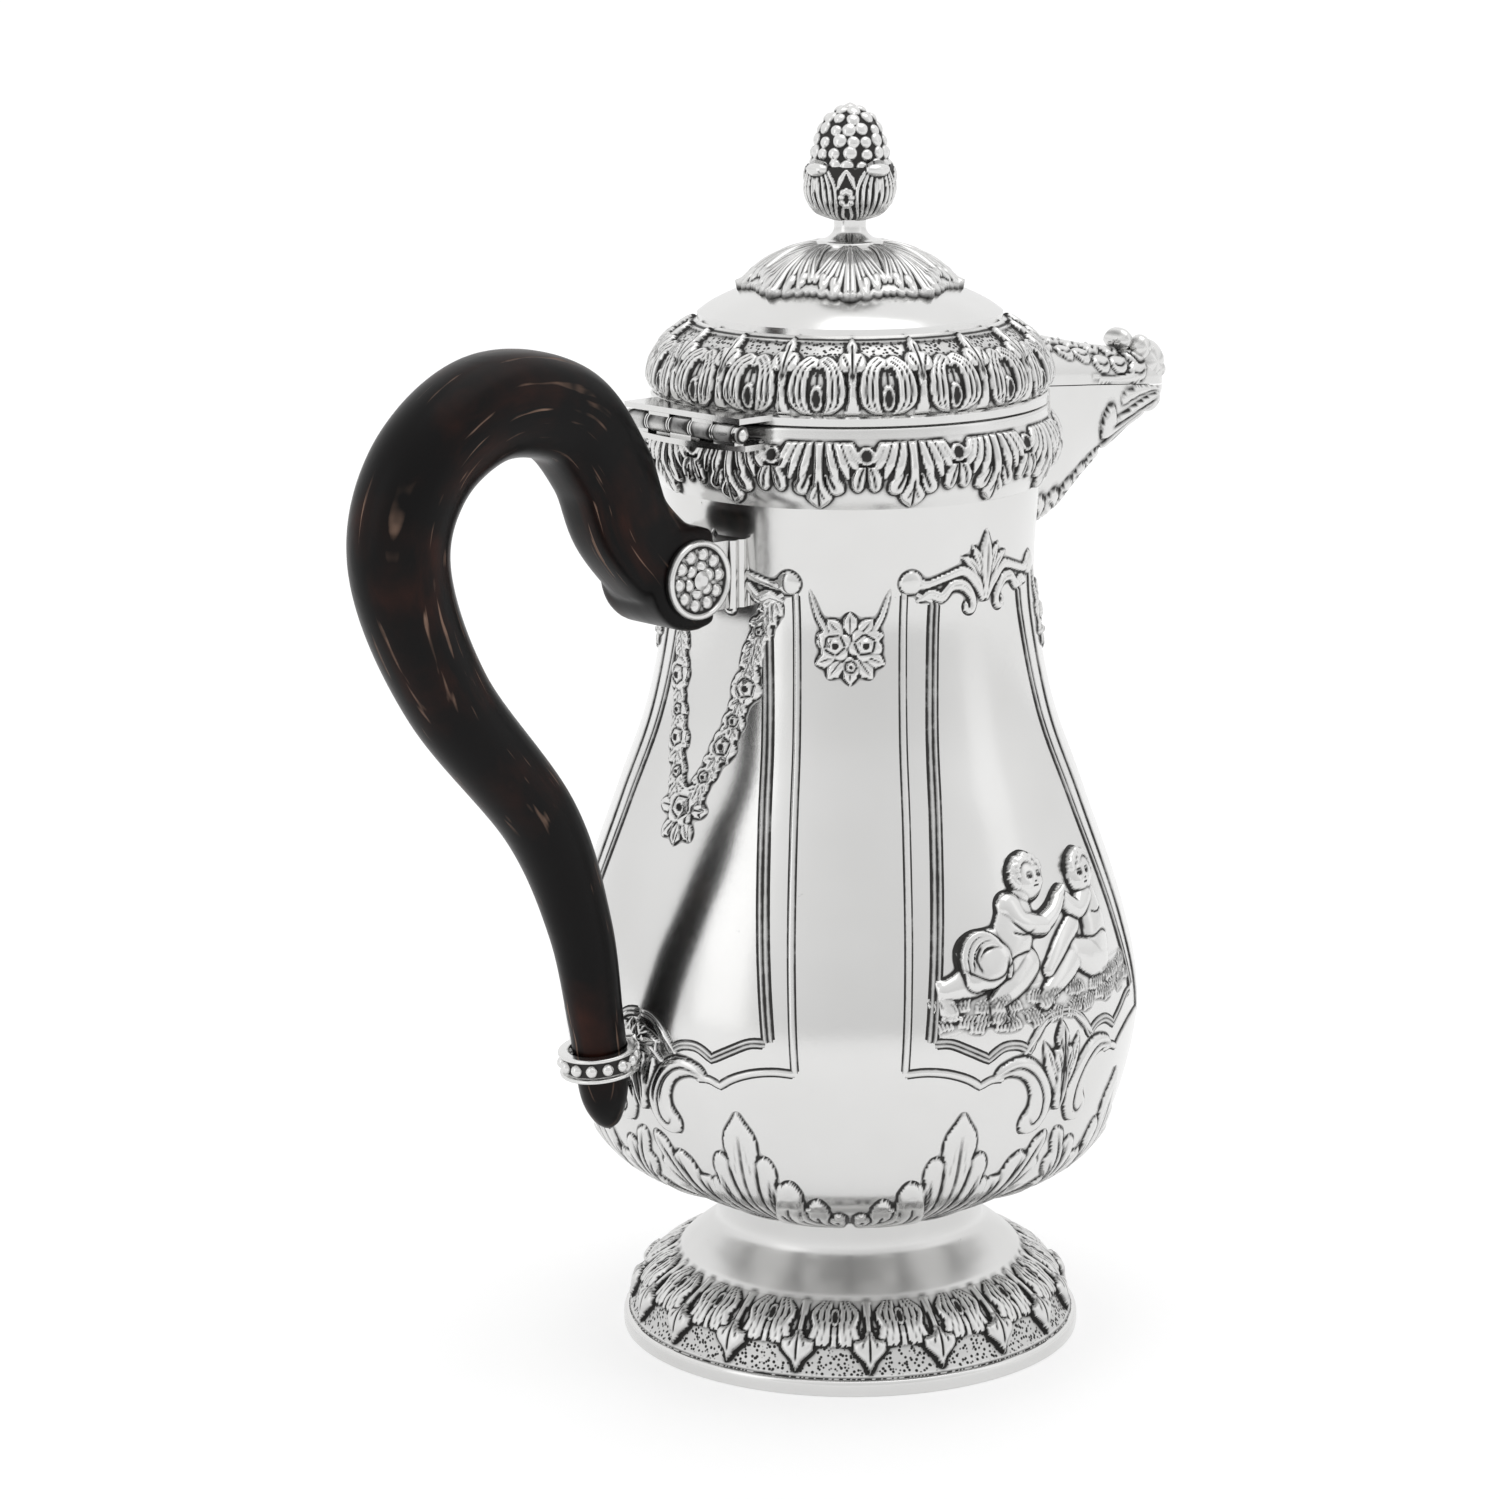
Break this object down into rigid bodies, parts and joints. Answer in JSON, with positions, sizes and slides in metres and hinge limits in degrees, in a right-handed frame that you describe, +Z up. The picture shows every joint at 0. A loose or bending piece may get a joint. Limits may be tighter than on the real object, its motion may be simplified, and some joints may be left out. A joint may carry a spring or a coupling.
{
  "type": "coffee pot",
  "caption": "Pear-shaped silver coffee pot on a spreading foot, with a covered beak spout, a hinged domed lid with a berry finial, and a looped dark wood handle.",
  "frame": {"origin": "middle of the foot's resting face, on the pot's upright axis", "axes": "+Z up along the pot's axis; the spout points along +X, the handle and the hinge are on -X; +Y completes the right-handed frame"},
  "size_m": [0.2058, 0.1146, 0.245],
  "materials": {
    "silver": "polished silver with dark, oxidised recesses",
    "pin_metal": "worn, slightly duller silver",
    "dark_wood": "satin, close-grained dark wood"
  },
  "bodies": {
    "pot": {"foot_wire": "silver", "foot": "silver", "vessel": "silver", "collar": "silver", "spout_trough": "silver", "hinge_body_leaf": "silver", "hinge_pin": "pin_metal", "upper_socket": "silver", "lower_socket": "silver", "lower_backplate": "silver", "handle": "dark_wood", "rosette_near": "silver", "rosette_far": "silver", "upper_rivet": "pin_metal", "lower_rivet": "pin_metal"},
    "lid": {"lid_flange": "silver", "lid_dome": "silver", "spout_cover": "silver", "hinge_lid_leaf": "silver", "calyx_plate": "silver", "finial_stem": "silver", "finial_cup": "silver", "finial_berry": "silver", "finial_washer": "pin_metal", "finial_nut": "pin_metal"}
  },
  "joints": [
    {"name": "lid_hinge", "type": "hinge", "parent": "pot", "child": "lid", "pos_m": [-0.0425, 0, 0.1872], "axis": [0, -1, 0], "range_deg": [0, 92]}
  ]
}
